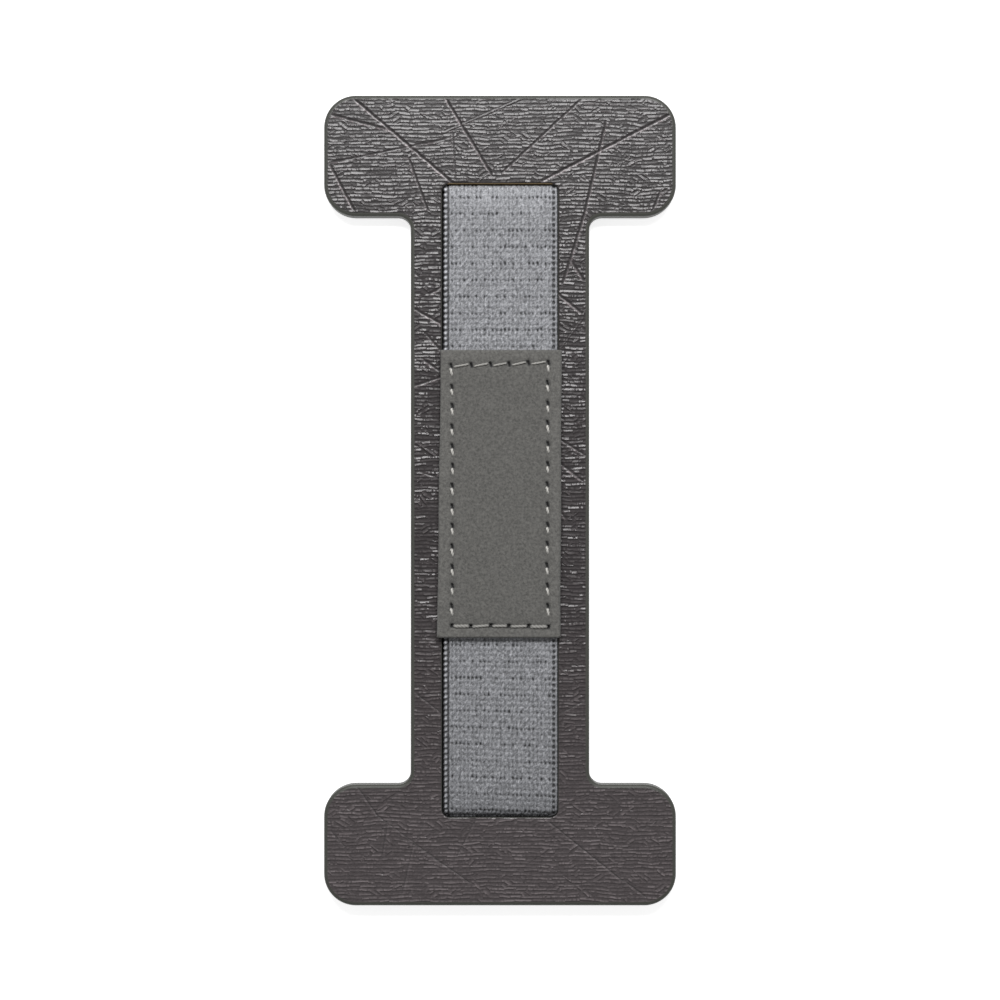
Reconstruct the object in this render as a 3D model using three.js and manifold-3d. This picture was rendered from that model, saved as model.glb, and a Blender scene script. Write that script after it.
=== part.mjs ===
// Phone finger strap: a flat I-shaped plate that sticks to the back of a phone, with an elastic band
// showing through the window in its stem and a stitched patch on the middle of the band.
// Millimetres. The strap lies on its back: X across, Y along the band, Z out of the phone.
// The origin is the middle of the adhesive's underside.

import * as THREE from "three";
import { mergeVertices } from "three/addons/utils/BufferGeometryUtils.js";
import Module from "manifold-3d";

const wasm = await Module();
wasm.setup();

// Plate outline, a capital I
const plateLength = 107;
const barWidth = 46.5;
const barLength = 16;
const barCornerRadius = 4.2;
const waistRadius = 1.7;

// Elastic band
const bandWidth = 15;
const bandThickness = 1;
const bandRowPitch = 0.73;
const bandRowDepth = 0.12;
const bandTuckLength = 8;
const bandRampLength = 6.6;
const bandRampSteps = 5;

// Window and the rails beside it
const railWidth = 4.15;
const windowEndMargin = 11.7;
const windowCornerRadius = 1.1;
const bandSideClearance = 0.15;
const bandEndClearance = 0.5;
const bandMouthSetback = 0.3;
const pocketRoofClearance = 0.05;

// Layers of the plate, from the phone outwards
const adhesiveThickness = 0.4;
const adhesiveInset = 0.8;
const backingThickness = 0.5;
const pocketRoofThickness = 0.45;
const coverThickness = 0.8;
const coverEdgeRadius = 0.45;
const coverEdgeSteps = 3;

// Patch, a little wider at its lower end and leaning a little to one side
const patchLength = 37.9;
const patchTopWidth = 15.9;
const patchBottomWidth = 16.25;
const patchLean = 0.33;
const patchShift = 0.87;
const patchThickness = 0.9;
const patchCornerRadius = 0.25;
const patchLift = 0.3;

// Seam that holds the patch on the band
const seamSideInset = 1.75;
const seamTopInset = 1.9;
const seamBottomInset = 1.55;
const seamTopSlant = 0.46;
const stitchPitch = 2.6;
const threadRadius = 0.15;
const threadSides = 6;
const threadLegSpacing = 0.34;
const threadClearance = 0.04;
const stitchHoleSides = 8;

const cornerSegments = 6;

// Sizes that follow from those above
const windowWidth = bandWidth + 2 * bandSideClearance;
const windowLength = plateLength - 2 * windowEndMargin;
const stemWidth = windowWidth + 2 * railWidth;
const pocketDepth = bandThickness + pocketRoofClearance;
const pocketLength = bandTuckLength + bandEndClearance;
const boardThickness = pocketDepth + pocketRoofThickness;

const backingBase = adhesiveThickness;
const boardBase = backingBase + backingThickness;
const coverBase = boardBase + boardThickness;
const coverTop = coverBase + coverThickness;

const bandLowMiddle = boardBase + bandThickness / 2;
const patchBase = coverTop + patchLift;
const patchTop = patchBase + patchThickness;
const bandHighMiddle = patchBase - bandThickness / 2;
const bandUnderside = patchBase - bandThickness;

const threadReach = threadLegSpacing / 2 + threadRadius + threadClearance;
const stitchHoleRadius = threadReach / Math.cos(Math.PI / stitchHoleSides);

// A closed mesh as a solid that can be cut and joined.
function solidFrom(geometry) {
  const bare = geometry.clone();
  for (const name of Object.keys(bare.attributes)) {
    if (name !== "position") bare.deleteAttribute(name);
  }
  const merged = mergeVertices(bare, 1e-5);
  return new wasm.Manifold(
    new wasm.Mesh({
      numProp: 3,
      vertProperties: merged.attributes.position.array,
      triVerts: new Uint32Array(merged.index.array),
    }),
  );
}

function geometryFrom(solid) {
  const { vertProperties, triVerts } = solid.getMesh();
  const geometry = new THREE.BufferGeometry();
  geometry.setAttribute("position", new THREE.BufferAttribute(vertProperties, 3));
  geometry.setIndex(new THREE.BufferAttribute(triVerts, 1));
  geometry.computeVertexNormals();
  return geometry;
}

// A closed outline through [x, y, radius] corners, listed anticlockwise, each rounded by a true arc.
function roundedOutline(corners, Kind = THREE.Shape) {
  const outline = new Kind();
  const points = corners.map(([x, y]) => new THREE.Vector2(x, y));
  corners.forEach(([, , radius], i) => {
    const corner = points[i];
    const back = points.at(i - 1).clone().sub(corner).normalize();
    const ahead = points[(i + 1) % points.length].clone().sub(corner).normalize();
    const half = back.angleTo(ahead) / 2;
    const setback = radius / Math.tan(half);
    const towards = back.clone().add(ahead).normalize();
    const centre = corner.clone().addScaledVector(towards, radius / Math.sin(half));
    const start = corner.clone().addScaledVector(back, setback).sub(centre);
    const end = corner.clone().addScaledVector(ahead, setback).sub(centre);
    const turnsRight = back.cross(ahead) > 0;
    outline.absarc(centre.x, centre.y, radius, start.angle(), end.angle(), turnsRight);
  });
  outline.closePath();
  return outline;
}

// The capital I, with its edge moved inwards by an inset.
function plateOutline(inset = 0) {
  const end = plateLength / 2 - inset;
  const shoulder = plateLength / 2 - barLength + inset;
  const side = barWidth / 2 - inset;
  const waist = stemWidth / 2 - inset;
  const outer = barCornerRadius - inset;
  const inner = waistRadius + inset;
  return roundedOutline([
    [side, shoulder, outer],
    [side, end, outer],
    [-side, end, outer],
    [-side, shoulder, outer],
    [-waist, shoulder, inner],
    [-waist, -shoulder, inner],
    [-side, -shoulder, outer],
    [-side, -end, outer],
    [side, -end, outer],
    [side, -shoulder, outer],
    [waist, -shoulder, inner],
    [waist, shoulder, inner],
  ]);
}

function windowOutline() {
  const x = windowWidth / 2;
  const y = windowLength / 2;
  const corners = [
    [x, -y, windowCornerRadius],
    [x, y, windowCornerRadius],
    [-x, y, windowCornerRadius],
    [-x, -y, windowCornerRadius],
  ];
  return roundedOutline(corners, THREE.Path);
}

function sheet(outline, thickness) {
  return new THREE.ExtrudeGeometry(outline, {
    depth: thickness,
    bevelEnabled: false,
    curveSegments: cornerSegments,
  });
}

// Face of the plate: a sheet with a window, its upper edges rounded over and its back flat.
function coverGeometry() {
  const outline = plateOutline();
  outline.holes.push(windowOutline());
  const rounded = new THREE.ExtrudeGeometry(outline, {
    depth: coverThickness,
    bevelEnabled: true,
    bevelThickness: coverEdgeRadius,
    bevelSize: coverEdgeRadius,
    bevelOffset: -coverEdgeRadius,
    bevelSegments: coverEdgeSteps,
    curveSegments: cornerSegments,
  });
  rounded.translate(0, 0, -coverEdgeRadius);
  const below = new THREE.BoxGeometry(2 * barWidth, 2 * plateLength, 2 * coverThickness);
  below.translate(0, 0, -coverThickness);
  return geometryFrom(solidFrom(rounded).subtract(solidFrom(below)));
}

// Stiff board under the face, with a window and, on its underside, a pocket past each end of the
// window for the tucked end of the band.
function boardGeometry() {
  const outline = plateOutline();
  outline.holes.push(windowOutline());
  const board = solidFrom(sheet(outline, boardThickness));
  const pockets = new THREE.BoxGeometry(
    windowWidth,
    windowLength + 2 * pocketLength,
    2 * pocketDepth,
  );
  return geometryFrom(board.subtract(solidFrom(pockets)));
}

// Corners of the patch, anticlockwise from its lower right.
function patchCorners() {
  const top = patchShift + patchLength / 2;
  const bottom = patchShift - patchLength / 2;
  const lean = patchLean / 2;
  return [
    [patchBottomWidth / 2 - lean, bottom],
    [patchTopWidth / 2 + lean, top],
    [-patchTopWidth / 2 + lean, top],
    [-patchBottomWidth / 2 - lean, bottom],
  ];
}

// Stitch holes, anticlockwise round the patch from its lower right. Each side of the seam has as
// many stitches as fit at the stitch pitch.
function stitchHoles() {
  const side = (patchTopWidth + patchBottomWidth) / 4 - seamSideInset;
  const top = patchShift + patchLength / 2 - seamTopInset;
  const bottom = patchShift - patchLength / 2 + seamBottomInset;
  const slant = seamTopSlant / 2;
  const corners = [
    new THREE.Vector2(side, bottom),
    new THREE.Vector2(side, top + slant),
    new THREE.Vector2(-side, top - slant),
    new THREE.Vector2(-side, bottom),
  ];
  return corners.flatMap((corner, i) => {
    const next = corners[(i + 1) % corners.length];
    const count = Math.max(1, Math.round(corner.distanceTo(next) / stitchPitch));
    return Array.from({ length: count }, (_, step) => corner.clone().lerp(next, step / count));
  });
}

function patchGeometry(holes) {
  const outline = roundedOutline(patchCorners().map(([x, y]) => [x, y, patchCornerRadius]));
  for (const { x, y } of holes) {
    const hole = new THREE.Path();
    hole.absarc(x, y, stitchHoleRadius, 0, 2 * Math.PI, true);
    outline.holes.push(hole);
  }
  return new THREE.ExtrudeGeometry(outline, {
    depth: patchThickness,
    bevelEnabled: false,
    curveSegments: stitchHoleSides / 2,
  });
}

// Height of the middle of the band's thickness. It is low where the band is tucked in, rises out of
// each end of the window along a parabola, and is level where the band carries the patch.
function bandMiddle(y) {
  const mouth = windowLength / 2 - bandMouthSetback;
  const share = THREE.MathUtils.clamp((mouth - Math.abs(y)) / bandRampLength, 0, 1);
  return THREE.MathUtils.lerp(bandHighMiddle, bandLowMiddle, (1 - share) ** 2);
}

// Side view of the band, with Y to the right: smooth below, and a ridge for each woven row above.
function bandProfile() {
  const end = windowLength / 2 + bandTuckLength;
  const mouth = windowLength / 2 - bandMouthSetback;
  const stations = [-end];
  for (let step = 0; step <= bandRampSteps; step += 1) {
    stations.push((step / bandRampSteps) * bandRampLength - mouth);
  }
  const underside = [...stations, ...stations.map((y) => -y).reverse()];
  const profile = new THREE.Shape();
  underside.forEach((y, i) => {
    const height = bandMiddle(y) - bandThickness / 2;
    if (i === 0) profile.moveTo(y, height);
    else profile.lineTo(y, height);
  });
  const rows = Math.round((2 * end) / bandRowPitch);
  for (let half = 0; half <= 2 * rows; half += 1) {
    const y = end - (half / rows) * end;
    const dip = half % 2 === 0 ? bandRowDepth : 0;
    profile.lineTo(y, bandMiddle(y) + bandThickness / 2 - dip);
  }
  profile.closePath();
  return profile;
}

function bandGeometry(holes) {
  const drills = holes.map(({ x, y }) => {
    const drill = new THREE.CylinderGeometry(
      stitchHoleRadius,
      stitchHoleRadius,
      4 * bandThickness,
      stitchHoleSides,
    );
    drill.rotateX(Math.PI / 2);
    drill.translate(x, y, bandHighMiddle);
    return solidFrom(drill);
  });
  const allDrills = drills.reduce((sum, drill) => sum.add(drill));
  const band = new THREE.ExtrudeGeometry(bandProfile(), { depth: bandWidth, bevelEnabled: false });
  band.translate(0, 0, -bandWidth / 2);
  band.rotateX(Math.PI / 2);
  band.rotateZ(Math.PI / 2);
  return geometryFrom(solidFrom(band).subtract(allDrills));
}

// A curve whose extrusion steps fall on its own points.
class PointedCurve extends THREE.CatmullRomCurve3 {
  getUtoTmapping(share) {
    return share;
  }
}

// One sewing thread, all the way round the seam. It lies along one face of the patch and band and
// dips into each hole and out again. Side is 1 for the thread above and -1 for the one below.
function threadGeometry(holes, side) {
  const surface = side > 0 ? patchTop : bandUnderside;
  const lockHeight = (patchTop + bandUnderside) / 2;
  const along = surface + side * (threadRadius + threadClearance);
  const turn = lockHeight + side * (threadRadius + threadClearance);
  const leg = threadLegSpacing / 2;
  const directions = holes.map((hole, i) => {
    return holes[(i + 1) % holes.length].clone().sub(hole).normalize();
  });
  const at = (hole, direction, distance, height) => {
    const place = hole.clone().addScaledVector(direction, distance);
    return new THREE.Vector3(place.x, place.y, height);
  };
  const points = holes.flatMap((hole, i) => {
    const next = holes[(i + 1) % holes.length];
    return [
      at(hole, directions[i], leg, turn),
      at(hole, directions[i], leg, along),
      at(next, directions[i], -leg, along),
      at(next, directions[i], -leg, turn),
    ];
  });
  const section = new THREE.Shape();
  for (let i = 0; i < threadSides; i += 1) {
    const angle = (2 * Math.PI * i) / threadSides;
    const x = threadRadius * Math.cos(angle);
    const y = threadRadius * Math.sin(angle);
    if (i === 0) section.moveTo(x, y);
    else section.lineTo(x, y);
  }
  section.closePath();
  return new THREE.ExtrudeGeometry(section, {
    steps: points.length - 1,
    extrudePath: new PointedCurve(points),
    bevelEnabled: false,
    curveSegments: 1,
  });
}

const embossedLeather = new THREE.MeshStandardMaterial({ color: "#4f4c4e", roughness: 0.42 });
const fibreBoard = new THREE.MeshStandardMaterial({ color: "#7a6446", roughness: 0.9 });
const blackSheet = new THREE.MeshStandardMaterial({ color: "#2c2b2d", roughness: 0.7 });
const adhesive = new THREE.MeshStandardMaterial({ color: "#d9d9d4", roughness: 0.35 });
const greyWebbing = new THREE.MeshStandardMaterial({ color: "#95969a", roughness: 0.8 });
const greySuede = new THREE.MeshStandardMaterial({ color: "#666562", roughness: 0.95 });
const greyThread = new THREE.MeshStandardMaterial({ color: "#9a9894", roughness: 0.55 });

function piece(name, geometry, material, height = 0) {
  const mesh = new THREE.Mesh(geometry, material);
  mesh.name = name;
  mesh.position.z = height;
  return mesh;
}

const holes = stitchHoles();

const plate = new THREE.Group();
plate.add(
  piece("adhesive_sheet", sheet(plateOutline(adhesiveInset), adhesiveThickness), adhesive),
  piece("backing_sheet", sheet(plateOutline(), backingThickness), blackSheet, backingBase),
  piece("core_board", boardGeometry(), fibreBoard, boardBase),
  piece("face_cover", coverGeometry(), embossedLeather, coverBase),
);

const strap = new THREE.Group();
strap.add(
  piece("elastic_band", bandGeometry(holes), greyWebbing),
  piece("patch", patchGeometry(holes), greySuede, patchBase),
  piece("needle_thread", threadGeometry(holes, 1), greyThread),
  piece("bobbin_thread", threadGeometry(holes, -1), greyThread),
);

const fingerStrap = new THREE.Group();
fingerStrap.add(plate, strap);

export default fingerStrap;
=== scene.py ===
"""Phone finger strap: an embossed I-shaped plate with a woven elastic band in its window, and a
suede-like patch sewn on the band. The strap lies on its adhesive back, seen from straight above.

Every length is in metres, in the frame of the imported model: X across, Y along the band, Z up.
"""

import bmesh
import bpy
import numpy as np
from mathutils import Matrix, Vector


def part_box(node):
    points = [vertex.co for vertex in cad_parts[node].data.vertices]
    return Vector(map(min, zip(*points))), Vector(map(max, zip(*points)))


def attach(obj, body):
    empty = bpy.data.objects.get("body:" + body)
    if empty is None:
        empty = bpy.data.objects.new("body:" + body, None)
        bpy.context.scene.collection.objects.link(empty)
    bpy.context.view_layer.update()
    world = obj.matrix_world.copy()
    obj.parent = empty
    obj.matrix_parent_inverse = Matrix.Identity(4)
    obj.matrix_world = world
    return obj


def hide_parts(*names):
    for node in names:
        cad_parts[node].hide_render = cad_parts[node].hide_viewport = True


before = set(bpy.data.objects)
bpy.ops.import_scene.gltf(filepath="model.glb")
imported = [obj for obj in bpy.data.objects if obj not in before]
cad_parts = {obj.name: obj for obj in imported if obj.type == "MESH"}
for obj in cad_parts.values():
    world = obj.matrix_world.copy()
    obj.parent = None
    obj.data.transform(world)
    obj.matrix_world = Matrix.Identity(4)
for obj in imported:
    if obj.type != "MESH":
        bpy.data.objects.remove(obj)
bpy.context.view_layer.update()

MM = 0.001

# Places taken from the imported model
plate_low, plate_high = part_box("face_cover")
band_low, band_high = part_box("elastic_band")
patch_low, patch_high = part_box("patch")
seam_low, seam_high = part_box("needle_thread")

# Plate
BAR_LENGTH = 16 * MM
BAR_CORNER = 4.2 * MM
WAIST_CORNER = 1.7 * MM
RAIL_WIDTH = 4.15 * MM
RIM_RADIUS = 0.45 * MM
RIM_WIDTH = 0.8 * MM
SMOOTH_RIM = 0.48 * MM
SMOOTH_WINDOW_RIM = 0.1 * MM
WINDOW_CORNER = 1.1 * MM
WINDOW_SIDE_GAP = 0.15 * MM

# Points round the plate's face, and rows of them across its flat
RING_POINTS = 1180
FLAT_ROWS = 46

# Section of the window's pressed edge, in millimetres: how far in from the window, and how far down
WINDOW_EDGE = (
    (0.6, 0),
    (0.3, 0),
    (0.22, 0.006),
    (0.15, 0.025),
    (0.08, 0.05),
    (0.03, 0.08),
    (0.01, 0.12),
    (0, 0.2),
)

# Band. A cell of its weave is one row long and one wale wide.
BAND_TUCK = 8 * MM
BAND_THICKNESS = 1 * MM
BAND_RAMP = 6.6 * MM
BAND_SHIFT = 0.08 * MM
BAND_ROW = 0.73 * MM
BAND_WALES = 28
CELL_STEPS = 6
WEAVE_DEPTH = 0.34 * MM

# Patch
PATCH_TOP_WIDTH = 15.9 * MM
PATCH_BOTTOM_WIDTH = 16.25 * MM
PATCH_LEAN = 0.33 * MM
PATCH_EDGE_RADIUS = 0.12 * MM

# Seam
THREAD_RADIUS = 0.15 * MM
SEAM_TOP_SLANT = 0.46 * MM
STITCH_PITCH = 2.6 * MM
STITCH_LEG = 0.4 * MM
THREAD_TWIST = 0.95 * MM

# Needle pits: how far they reach across and along, and how much they slant. Those of the seam's
# lowest row are square.
PIT = (0.2 * MM, 0.36 * MM, -0.28)
SQUARE_PIT = (0.26 * MM, 0.27 * MM, 0.1)
PIT_DEPTH = 0.5 * MM

# Camera, looking straight down
PIXEL = 0.132 * MM
IMAGE_SIDE = 1000
CAMERA_DISTANCE = 400 * MM
SENSOR = 36 * MM

# Light and floor: the lamp's place, size and power, the sky's grey, and the floor's half width,
# level and own light
PANEL_PLACE = (0, 0.19, 0.34)
PANEL_SIZE = (0.225, 0.083)
PANEL_POWER = 1.32
SKY = (0.3, 0.3, 0.3, 1)
FLOOR_HALF = 3.0
FLOOR_LEVEL = -0.03 * MM
FLOOR_GLOW = 0.75

HALF_LENGTH = plate_high.y
HALF_BAR = plate_high.x
WINDOW_HALF_WIDTH = band_high.x + WINDOW_SIDE_GAP
WINDOW_HALF_LENGTH = band_high.y - BAND_TUCK
HALF_STEM = WINDOW_HALF_WIDTH + RAIL_WIDTH

# Creases of the embossing, in millimetres: two ends, then depth. A negative depth is a groove and a
# positive one is a ridge.
CREASES = (
    (-19.1, 52.9, -6.2, 41.9, -1.0), (-22.0, 50.9, -14.8, 49.0, -0.8),
    (-22.2, 43.9, -19.4, 38.6, -0.9), (2.8, 53.0, -7.3, 48.6, 0.8),
    (-7.3, 47.7, -22.4, 44.6, -0.5), (-11.9, 44.9, -9.6, 38.5, -0.6),
    (-7.1, 53.0, -1.2, 43.2, -0.9), (10.4, 52.7, 0.4, 43.4, -0.6),
    (22.3, 50.9, 5.7, 42.3, -1.0), (13.9, 49.7, 11.1, 37.7, -0.7),
    (11.1, 37.7, 8.3, 28.8, -0.7), (21.1, 40.6, 20.3, 38.7, -0.6),
    (-6.2, 48.4, -5.8, 42.3, -0.4), (9.4, 31.7, 11.0, 29.2, -0.7),
    (7.9, 27.1, 10.6, 24.9, -0.9), (10.7, 23.7, 8.3, 20.4, 0.6),
    (-7.5, 28.3, -9.1, 27.4, -0.8), (-11.5, 25.4, -7.5, 23.2, -0.9),
    (-9.5, 21.7, -7.9, 19.9, -0.6), (-11.0, -25.5, -7.9, -27.9, -0.6),
    (11.0, -26.5, 8.3, -27.9, -0.5), (-22.3, -43.6, -20.5, -45.6, -0.5),
    (-14.9, -43.1, -15.6, -46.8, -0.5), (-11.4, -45.1, -12.9, -51.7, -0.5),
    (-9.9, -42.0, -10.7, -44.2, -0.4), (-3.2, -42.0, -5.8, -47.1, -0.5),
    (-18.9, -37.6, -16.2, -41.5, -0.6), (-16.2, -41.5, -10.6, -45.7, -0.5),
    (-10.6, -45.7, -4.0, -50.4, -0.6), (-16.2, -50.0, -16.6, -52.2, -0.35),
    (-20.1, -49.4, -19.5, -52.2, -0.35), (-12.3, -44.8, -7.5, -48.1, -0.4),
    (6.5, -42.4, 16.0, -50.0, -0.7), (11.4, -41.0, 13.7, -45.5, -0.4),
    (-9.8, 18.4, -8.4, 17.4, -0.8), (-11.2, 15.2, -8.1, 16.2, -0.8),
    (-10.0, 3.6, -8.6, 3.2, -0.6), (7.9, 8.1, 11.1, 6.1, -0.7),
    (7.9, 5.0, 10.8, 2.7, -0.8), (7.9, -1.3, 8.7, -2.4, -0.6),
    (16.9, -50.5, 19.1, -52.2, -0.7), (20.9, -42.2, 18.6, -43.5, -0.4),
    (0.0, -41.6, -0.9, -53.4, -0.25),
)

# How far from a crease its distance is kept, in how many layers the creases lie, how close two may
# come in one layer, and over what length a crease fades out past its ends
CREASE_REACH = 1.5
CREASE_LAYERS = 9
CREASE_SPACING = 2
CREASE_FADE = 0.6


# Meshes

def make_piece(name, points, faces, node, attributes=()):
    """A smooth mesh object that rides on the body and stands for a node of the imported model."""
    mesh = bpy.data.meshes.new(name)
    mesh.from_pydata(points.reshape(-1, 3), [], faces)
    for label, values in attributes:
        kind = "FLOAT_VECTOR" if values.ndim > 1 and values.shape[-1] == 3 else "FLOAT"
        field = "vector" if kind == "FLOAT_VECTOR" else "value"
        mesh.attributes.new(label, kind, "POINT").data.foreach_set(field, values.ravel())
    work = bmesh.new()
    work.from_mesh(mesh)
    bmesh.ops.recalc_face_normals(work, faces=work.faces)
    work.to_mesh(mesh)
    work.free()
    mesh.polygons.foreach_set("use_smooth", [True] * len(mesh.polygons))
    piece = bpy.data.objects.new(name, mesh)
    bpy.context.scene.collection.objects.link(piece)
    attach(piece, "root")
    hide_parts(node)
    return piece


def quads(rows, columns, rows_closed=False, columns_closed=False):
    """Corner numbers of the quads of a grid whose points are numbered row by row."""
    index = np.arange(rows * columns).reshape(rows, columns)
    if rows_closed:
        index = np.vstack([index, index[:1]])
    if columns_closed:
        index = np.hstack([index, index[:, :1]])
    corners = (index[:-1, :-1], index[:-1, 1:], index[1:, 1:], index[1:, :-1])
    return np.stack([corner.ravel() for corner in corners], axis=1).tolist()


def tube(rows):
    """Faces of a closed sheet given as rows of points that each go round its section: quads along
    it and one flat face on each end."""
    count, around = rows.shape[:2]
    first = list(range(around))
    last = list(range((count - 1) * around, count * around))
    return quads(count, around, columns_closed=True) + [first, last]


def smooth_step(low, high, value):
    """A smooth S that is 0 at low and before it, and 1 at high and past it."""
    share = np.clip((value - low) / (high - low), 0, 1)
    return share * share * (3 - 2 * share)


def spread(low, high, step, dense=(), reach=0.0, dense_step=None):
    """Stations from low to high, a step apart, and closer together within reach of each dense place."""
    fine = np.arange(low, high, dense_step or step)
    near = np.zeros(len(fine), bool)
    for place in dense:
        near |= np.abs(fine - place) < reach
    coarse = np.arange(low, high, step)
    if len(dense):
        apart = np.abs(coarse[:, None] - np.asarray(dense)[None, :]).min(axis=1)
        coarse = coarse[apart >= reach]
        fine = fine[near]
    stations = np.concatenate([[low], fine, coarse, [high]])
    return np.unique(np.round(stations, 7))


def unit(vectors):
    """The same directions, with a length of 1."""
    return vectors / np.linalg.norm(vectors, axis=-1, keepdims=True)


def left_of(heading):
    return np.stack([-heading[:, 1], heading[:, 0]], axis=1)


def lengths_along(points):
    """How far along its line each point lies."""
    steps = np.linalg.norm(np.diff(points, axis=0), axis=1)
    return np.concatenate([[0], np.cumsum(steps)])


# Outlines

def rounded_loop(start, corners, arc_points=24):
    """A closed outline that starts and ends at one point. It runs straight between the corners, and
    each corner (x, y, radius) is an arc that touches both of its edges."""
    places = np.array([corner[:2] for corner in corners])
    loop = [np.array([start])]
    for i, (_, _, radius) in enumerate(corners):
        back = unit(places[i - 1] - places[i])
        ahead = unit(places[(i + 1) % len(places)] - places[i])
        half = np.arccos(back @ ahead) / 2
        centre = places[i] + unit(back + ahead) * radius / np.sin(half)
        first = places[i] + back * radius / np.tan(half) - centre
        last = places[i] + ahead * radius / np.tan(half) - centre
        begin = np.arctan2(first[1], first[0])
        swing = (np.arctan2(last[1], last[0]) - begin + np.pi) % (2 * np.pi) - np.pi
        angles = begin + swing * np.linspace(0, 1, arc_points)
        loop.append(centre + radius * np.stack([np.cos(angles), np.sin(angles)], axis=1))
    loop.append(np.array([start]))
    return np.concatenate(loop)


def walk(loop, distances):
    """Points at given distances along a closed outline, and the direction to its left at each."""
    travelled = lengths_along(loop)

    def at(where):
        where = np.mod(where, travelled[-1])
        return np.stack([np.interp(where, travelled, loop[:, axis]) for axis in (0, 1)], axis=1)

    reach = 0.02 * MM
    heading = unit(at(distances + reach) - at(distances - reach))
    return at(distances), left_of(heading)


def plate_loop():
    """Outline of the plate, a capital I, anticlockwise from the middle of its right side."""
    shoulder = HALF_LENGTH - BAR_LENGTH
    right = [
        (HALF_STEM, shoulder, WAIST_CORNER),
        (HALF_BAR, shoulder, BAR_CORNER),
        (HALF_BAR, HALF_LENGTH, BAR_CORNER),
    ]
    left = [(-x, y, radius) for x, y, radius in reversed(right)]
    upper = right + left
    lower = [(-x, -y, radius) for x, y, radius in upper]
    return rounded_loop((HALF_STEM, 0), upper + lower)


def window_loop():
    """Outline of the window, anticlockwise from the middle of its right side."""
    upper = [
        (WINDOW_HALF_WIDTH, WINDOW_HALF_LENGTH, WINDOW_CORNER),
        (-WINDOW_HALF_WIDTH, WINDOW_HALF_LENGTH, WINDOW_CORNER),
    ]
    lower = [(-x, -y, radius) for x, y, radius in upper]
    return rounded_loop((WINDOW_HALF_WIDTH, 0), upper + lower)


def all_round(quarter, whole):
    """Distances all round an outline from those in its first quarter, by its two mirror lines."""
    quarter = np.asarray(quarter)
    half = np.concatenate([quarter, whole / 2 - quarter[-2::-1]])
    return np.concatenate([half, whole / 2 + half[1:]])


# Embossed face of the plate

def crease_fields(x, y):
    """For each point, its distance to the left of the nearest crease and how strong the crease is
    there, in layers in which no two creases come close. Each crease runs to the right, so that the
    left of it is its upper side. The distance is that from the crease's whole line, so it changes
    evenly, and the strength fades out past the crease's ends."""
    layers = [[] for _ in range(CREASE_LAYERS)]
    for crease in CREASES:
        if crease[0] > crease[2]:
            crease = crease[2:4] + crease[:2] + crease[4:]
        start, end = np.array(crease[:2]), np.array(crease[2:4])
        along = start + np.linspace(0, 1, 40)[:, None] * (end - start)
        clear = []
        for layer in layers:
            gaps = [np.linalg.norm(along[:, None] - other, axis=2).min() for other, _ in layer]
            if all(gap > CREASE_SPACING for gap in gaps):
                clear.append(layer)
        min(clear or layers, key=len).append((along, crease))
    distances, strengths = [], []
    for layer in layers:
        nearest = np.full(x.shape, np.inf)
        distance = np.full(x.shape, CREASE_REACH)
        strength = np.zeros(x.shape)
        for _, (x0, y0, x1, y1, depth) in layer:
            length = np.hypot(x1 - x0, y1 - y0)
            forward = ((x - x0) * (x1 - x0) + (y - y0) * (y1 - y0)) / length
            aside = ((y - y0) * (x1 - x0) - (x - x0) * (y1 - y0)) / length
            past = np.maximum(np.maximum(-forward, forward - length), 0)
            away = np.hypot(aside, past)
            closer = away < nearest
            nearest = np.where(closer, away, nearest)
            distance = np.where(closer, np.clip(aside, -CREASE_REACH, CREASE_REACH), distance)
            fade = np.clip(1 - past / CREASE_FADE, 0, 1) * np.clip((1 - away) / 0.4, 0, 1)
            strength = np.where(closer, depth * fade, strength)
        distances.append(distance)
        strengths.append(strength)
    return distances, strengths


def ring_stations():
    """Distances along the plate's outline and along its window of the points that face each other.
    Key distances are matched, so that the faces between stay even round the plate's corners."""
    shoulder = HALF_LENGTH - BAR_LENGTH
    lead = 0.8 * MM
    bar_arc = np.pi / 2 * BAR_CORNER
    outer_steps = [
        shoulder - WAIST_CORNER - lead,
        np.pi / 2 * WAIST_CORNER + lead,
        HALF_BAR - HALF_STEM - WAIST_CORNER - BAR_CORNER,
        bar_arc,
        BAR_LENGTH - 2 * BAR_CORNER,
        bar_arc,
        HALF_BAR - BAR_CORNER,
    ]
    outer_keys = np.concatenate([[0], np.cumsum(outer_steps)])
    past_shoulder = shoulder + RIM_WIDTH
    corner_start = WINDOW_HALF_LENGTH - WINDOW_CORNER
    corner_end = corner_start + np.pi / 2 * WINDOW_CORNER
    inner_keys = np.array([
        0,
        outer_keys[1],
        past_shoulder,
        past_shoulder + 1 * MM,
        past_shoulder + 2 * MM,
        corner_start + 0.4 * MM,
        corner_end,
        corner_end + WINDOW_HALF_WIDTH - WINDOW_CORNER,
    ])
    outer_keys = all_round(outer_keys, 4 * outer_keys[-1])
    inner_keys = all_round(inner_keys, 4 * inner_keys[-1])
    outer = np.linspace(0, outer_keys[-1], RING_POINTS, endpoint=False)
    return outer, np.interp(outer, outer_keys, inner_keys)


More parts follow.
